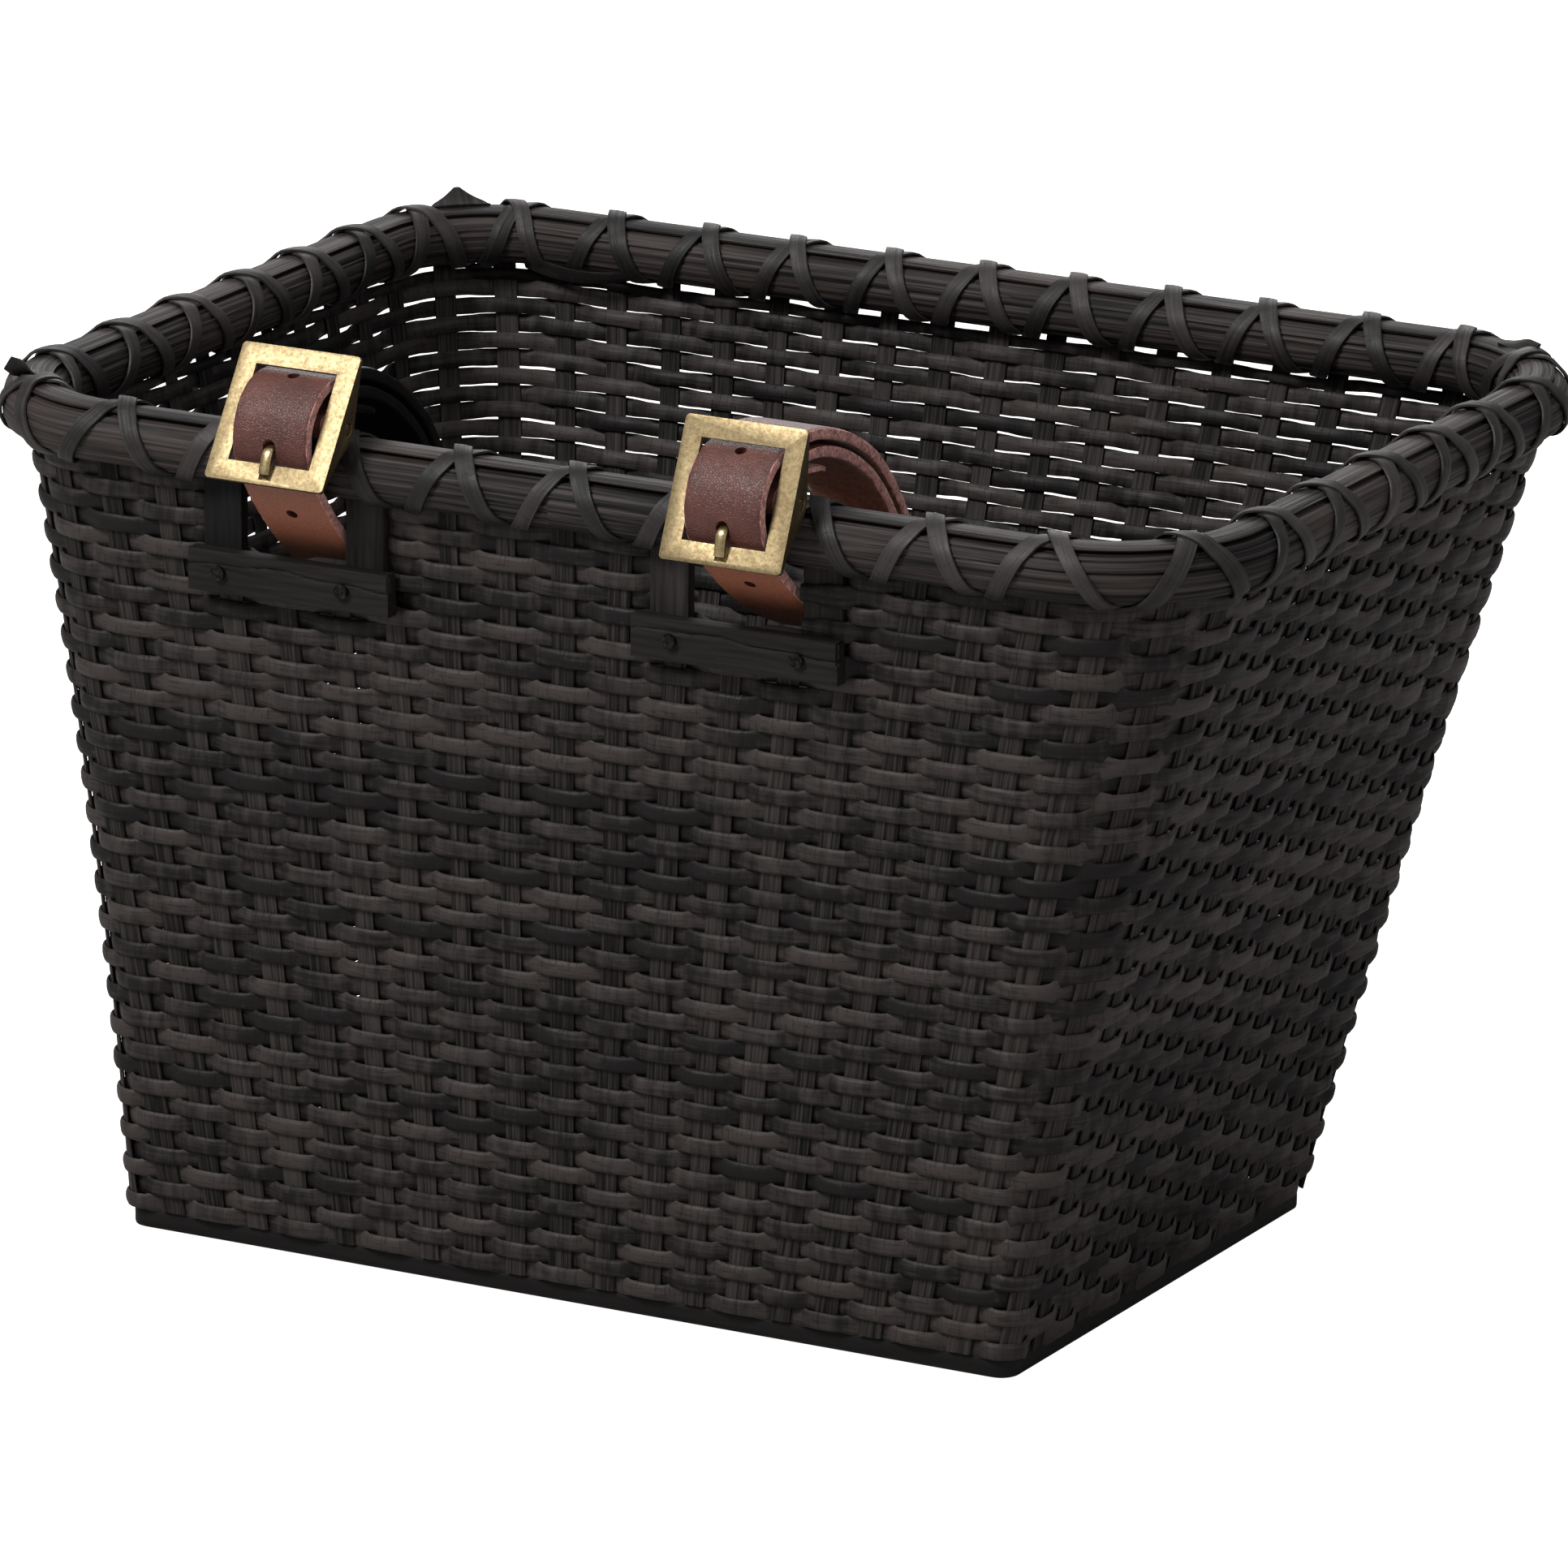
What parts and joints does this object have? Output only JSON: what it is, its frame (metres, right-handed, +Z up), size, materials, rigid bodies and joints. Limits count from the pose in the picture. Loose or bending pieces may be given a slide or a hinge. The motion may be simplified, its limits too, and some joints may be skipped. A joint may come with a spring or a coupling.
{
  "type": "handlebar basket",
  "caption": "Woven rattan bicycle basket with a lashed rim, hung from the handlebar by two buckled leather straps.",
  "frame": {"origin": "centre of the base board's underside", "axes": "+X along the basket's width, -Y towards the strap side that faces the bicycle, +Z up"},
  "size_m": [0.349, 0.263, 0.2334],
  "materials": {
    "rattan": "black stained woven rattan, satin",
    "hoop_cane": "black stained cane hoops with a lengthwise grain",
    "slat_wood": "black stained wood, matt",
    "base_wood": "black stained board, matt",
    "leather": "brown vegetable tanned leather with raw edges",
    "antique_brass": "speckled antique brass",
    "nail_steel": "blackened steel nail heads"
  },
  "bodies": {
    "basket": {"base_board": "base_wood", "woven_wall": "rattan", "rim_outer_hoop": "hoop_cane", "rim_inner_hoop": "hoop_cane", "rim_top_reed": "hoop_cane", "post_left_a": "slat_wood", "post_left_b": "slat_wood", "post_right_a": "slat_wood", "post_right_b": "slat_wood", "slat_left": "slat_wood", "slat_right": "slat_wood", "nail_left_a": "nail_steel", "nail_left_b": "nail_steel", "nail_right_a": "nail_steel", "nail_right_b": "nail_steel"},
    "left_strap": {"strap_left": "leather"},
    "left_buckle": {"buckle_frame_left": "antique_brass", "buckle_bar_left": "antique_brass"},
    "left_prong": {"prong_left": "antique_brass"},
    "right_strap": {"strap_right": "leather"},
    "right_buckle": {"buckle_frame_right": "antique_brass", "buckle_bar_right": "antique_brass"},
    "right_prong": {"prong_right": "antique_brass"}
  },
  "joints": [
    {"name": "left_strap_swing", "type": "hinge", "parent": "basket", "child": "left_strap", "pos_m": [-0.0714, -0.0805, 0.2058], "axis": [1, 0, 0], "range_deg": [-2, 35]},
    {"name": "left_buckle_tilt", "type": "hinge", "parent": "left_strap", "child": "left_buckle", "pos_m": [-0.0714, -0.08994, 0.21659], "axis": [1, 0, 0], "range_deg": [-2.5, 2.5]},
    {"name": "left_prong_lift", "type": "hinge", "parent": "left_buckle", "child": "left_prong", "pos_m": [-0.0714, -0.08994, 0.21659], "axis": [1, 0, 0], "range_deg": [-5, 0]},
    {"name": "right_strap_swing", "type": "hinge", "parent": "basket", "child": "right_strap", "pos_m": [0.0546, -0.0805, 0.2058], "axis": [1, 0, 0], "range_deg": [-12, 25]},
    {"name": "right_buckle_tilt", "type": "hinge", "parent": "right_strap", "child": "right_buckle", "pos_m": [0.0546, -0.09167, 0.21478], "axis": [1, 0, 0], "range_deg": [-2.5, 2.5]},
    {"name": "right_prong_lift", "type": "hinge", "parent": "right_buckle", "child": "right_prong", "pos_m": [0.0546, -0.09167, 0.21478], "axis": [1, 0, 0], "range_deg": [-5, 0]}
  ]
}
